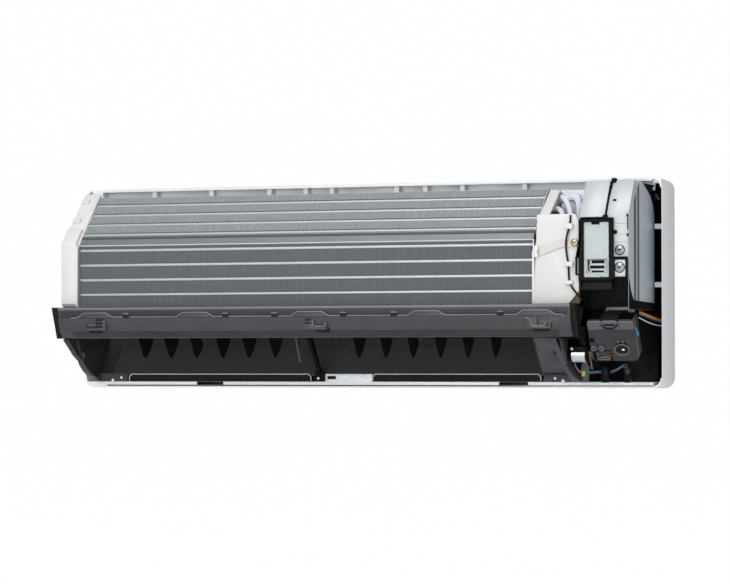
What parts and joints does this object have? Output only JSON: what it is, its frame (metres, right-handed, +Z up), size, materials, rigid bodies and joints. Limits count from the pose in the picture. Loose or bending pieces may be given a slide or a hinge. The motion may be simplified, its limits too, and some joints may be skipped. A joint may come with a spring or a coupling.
{
  "type": "split air conditioner indoor unit",
  "caption": "Wall indoor unit without its front cover: finned coil, cross flow fan, drain pan, coupled air vanes, electrical box and receiver box in a tray-like rear casing.",
  "frame": {"origin": "centre of the rear casing's flat back face, which lies on the wall", "axes": "+X to the right as seen from the room, along the unit's width; +Y into the wall, so the front faces -Y; +Z up"},
  "size_m": [0.87, 0.2018, 0.29],
  "materials": {
    "casing_white": "satin white, seams sharp",
    "part_white": "matt white",
    "pan_slate": "satin dark slate",
    "guide_black": "matt charcoal",
    "trim_black": "black, slight sheen",
    "seal_foam": "open foam, dull",
    "rubber_black": "dull",
    "fin_aluminium": "fine fins, coated",
    "tube_copper": "drawn copper",
    "sheet_steel": "galvanised, faint spangle",
    "pipe_white": "foam sleeve, pale",
    "board_brown": "phenolic board",
    "wire_cyan": "glossy insulation",
    "wire_orange": "glossy insulation"
  },
  "bodies": {
    "casing": {"rear_casing": "casing_white", "compartment_liner": "trim_black", "air_guide": "guide_black", "lip_seal_left": "seal_foam", "lip_seal_right": "seal_foam", "drain_pan": "pan_slate", "outlet_end_left": "guide_black", "outlet_end_right": "pan_slate", "end_foam_left": "seal_foam", "end_foam_right": "seal_foam", "centre_strut": "trim_black", "front_fin_pack": "fin_aluminium", "upper_fin_pack": "fin_aluminium", "rear_fin_pack": "fin_aluminium", "coil_filler_strip": "sheet_steel", "main_circuit_tubes": "tube_copper", "rear_circuit_tubes": "tube_copper", "left_tube_sheet": "sheet_steel", "right_tube_sheet": "sheet_steel", "gas_pipe": "pipe_white", "liquid_pipe": "tube_copper", "link_pipe": "pipe_white", "left_cover_lower": "part_white", "left_cover_upper": "part_white", "right_bracket": "part_white", "sensor_strap": "sheet_steel", "sensor_lead": "rubber_black", "fan_motor": "trim_black", "motor_cradle": "trim_black", "motor_clamp": "sheet_steel", "bearing_bush": "rubber_black", "louvre_motor": "sheet_steel", "louvre_motor_lead": "wire_cyan", "side_harness": "wire_orange", "box_base": "trim_black", "left_shield": "sheet_steel", "right_shield": "sheet_steel", "terminal_frame": "trim_black", "terminal_plate": "sheet_steel", "receiver_cover": "pan_slate", "receiver_base": "trim_black", "receiver_board": "board_brown"},
    "fan": {"cross_flow_fan": "guide_black", "motor_shaft": "sheet_steel"},
    "louvre_shaft": {"louvre_drive": "part_white"},
    "test_key": {"test_button": "pan_slate"},
    "left_vane_1": {"left_vane_1": "guide_black"},
    "left_vane_2": {"left_vane_2": "guide_black"},
    "left_vane_3": {"left_vane_3": "guide_black"},
    "left_vane_4": {"left_vane_4": "guide_black"},
    "left_vane_5": {"left_vane_5": "guide_black"},
    "left_vane_6": {"left_vane_6": "guide_black"},
    "left_link_bar": {"left_link_bar": "trim_black"},
    "right_vane_1": {"right_vane_1": "guide_black"},
    "right_vane_2": {"right_vane_2": "guide_black"},
    "right_vane_3": {"right_vane_3": "guide_black"},
    "right_vane_4": {"right_vane_4": "guide_black"},
    "right_vane_5": {"right_vane_5": "guide_black"},
    "right_vane_6": {"right_vane_6": "guide_black"},
    "right_link_bar": {"right_link_bar": "trim_black"}
  },
  "joints": [
    {"name": "fan_spin", "type": "hinge", "parent": "casing", "child": "fan", "pos_m": [-0.388, -0.098, 0.008], "axis": [1, 0, 0], "continuous": true},
    {"name": "louvre_shaft_turn", "type": "hinge", "parent": "casing", "child": "louvre_shaft", "pos_m": [0.316, -0.128, -0.09849], "axis": [1, 0, 0], "range_deg": [-10, 90]},
    {"name": "test_key_press", "type": "slide", "parent": "casing", "child": "test_key", "axis": [0, 0.8829, 0.4695], "range_m": [0, 0.0012], "stiffness_N_per_m": 300},
    {"name": "left_vane_1_turn", "type": "hinge", "parent": "casing", "child": "left_vane_1", "pos_m": [-0.311, -0.1501, -0.05508], "axis": [0, -0.5185, 0.8551], "range_deg": [-35, 35]},
    {"name": "left_vane_2_turn", "type": "hinge", "parent": "casing", "child": "left_vane_2", "pos_m": [-0.271, -0.1501, -0.05508], "axis": [0, -0.5185, 0.8551], "range_deg": [-35, 35]},
    {"name": "left_vane_3_turn", "type": "hinge", "parent": "casing", "child": "left_vane_3", "pos_m": [-0.231, -0.1501, -0.05508], "axis": [0, -0.5185, 0.8551], "range_deg": [-35, 35]},
    {"name": "left_vane_4_turn", "type": "hinge", "parent": "casing", "child": "left_vane_4", "pos_m": [-0.191, -0.1501, -0.05508], "axis": [0, -0.5185, 0.8551], "range_deg": [-35, 35]},
    {"name": "left_vane_5_turn", "type": "hinge", "parent": "casing", "child": "left_vane_5", "pos_m": [-0.15101, -0.1501, -0.05508], "axis": [0, -0.5185, 0.8551], "range_deg": [-35, 35]},
    {"name": "left_vane_6_turn", "type": "hinge", "parent": "casing", "child": "left_vane_6", "pos_m": [-0.11101, -0.1501, -0.05508], "axis": [0, -0.5185, 0.8551], "range_deg": [-35, 35]},
    {"name": "left_link_bar_turn", "type": "hinge", "parent": "left_vane_1", "child": "left_link_bar", "pos_m": [-0.311, -0.13945, -0.05142], "axis": [0, -0.5185, 0.8551], "range_deg": [-35, 35]},
    {"name": "right_vane_1_turn", "type": "hinge", "parent": "casing", "child": "right_vane_1", "pos_m": [0.015, -0.1501, -0.05508], "axis": [0, -0.5185, 0.8551], "range_deg": [-35, 35]},
    {"name": "right_vane_2_turn", "type": "hinge", "parent": "casing", "child": "right_vane_2", "pos_m": [0.055, -0.1501, -0.05508], "axis": [0, -0.5185, 0.8551], "range_deg": [-35, 35]},
    {"name": "right_vane_3_turn", "type": "hinge", "parent": "casing", "child": "right_vane_3", "pos_m": [0.095, -0.1501, -0.05508], "axis": [0, -0.5185, 0.8551], "range_deg": [-35, 35]},
    {"name": "right_vane_4_turn", "type": "hinge", "parent": "casing", "child": "right_vane_4", "pos_m": [0.135, -0.1501, -0.05508], "axis": [0, -0.5185, 0.8551], "range_deg": [-35, 35]},
    {"name": "right_vane_5_turn", "type": "hinge", "parent": "casing", "child": "right_vane_5", "pos_m": [0.175, -0.1501, -0.05508], "axis": [0, -0.5185, 0.8551], "range_deg": [-35, 35]},
    {"name": "right_vane_6_turn", "type": "hinge", "parent": "casing", "child": "right_vane_6", "pos_m": [0.21499, -0.1501, -0.05508], "axis": [0, -0.5185, 0.8551], "range_deg": [-35, 35]},
    {"name": "right_link_bar_turn", "type": "hinge", "parent": "right_vane_1", "child": "right_link_bar", "pos_m": [0.015, -0.13945, -0.05142], "axis": [0, -0.5185, 0.8551], "range_deg": [-35, 35]}
  ],
  "couplings": [
    {"joint": "left_vane_2_turn", "follows": "left_vane_1_turn", "ratio": 1},
    {"joint": "left_vane_3_turn", "follows": "left_vane_1_turn", "ratio": 1},
    {"joint": "left_vane_4_turn", "follows": "left_vane_1_turn", "ratio": 1},
    {"joint": "left_vane_5_turn", "follows": "left_vane_1_turn", "ratio": 1},
    {"joint": "left_vane_6_turn", "follows": "left_vane_1_turn", "ratio": 1},
    {"joint": "left_link_bar_turn", "follows": "left_vane_1_turn", "ratio": -1},
    {"joint": "right_vane_2_turn", "follows": "right_vane_1_turn", "ratio": 1},
    {"joint": "right_vane_3_turn", "follows": "right_vane_1_turn", "ratio": 1},
    {"joint": "right_vane_4_turn", "follows": "right_vane_1_turn", "ratio": 1},
    {"joint": "right_vane_5_turn", "follows": "right_vane_1_turn", "ratio": 1},
    {"joint": "right_vane_6_turn", "follows": "right_vane_1_turn", "ratio": 1},
    {"joint": "right_link_bar_turn", "follows": "right_vane_1_turn", "ratio": -1}
  ]
}
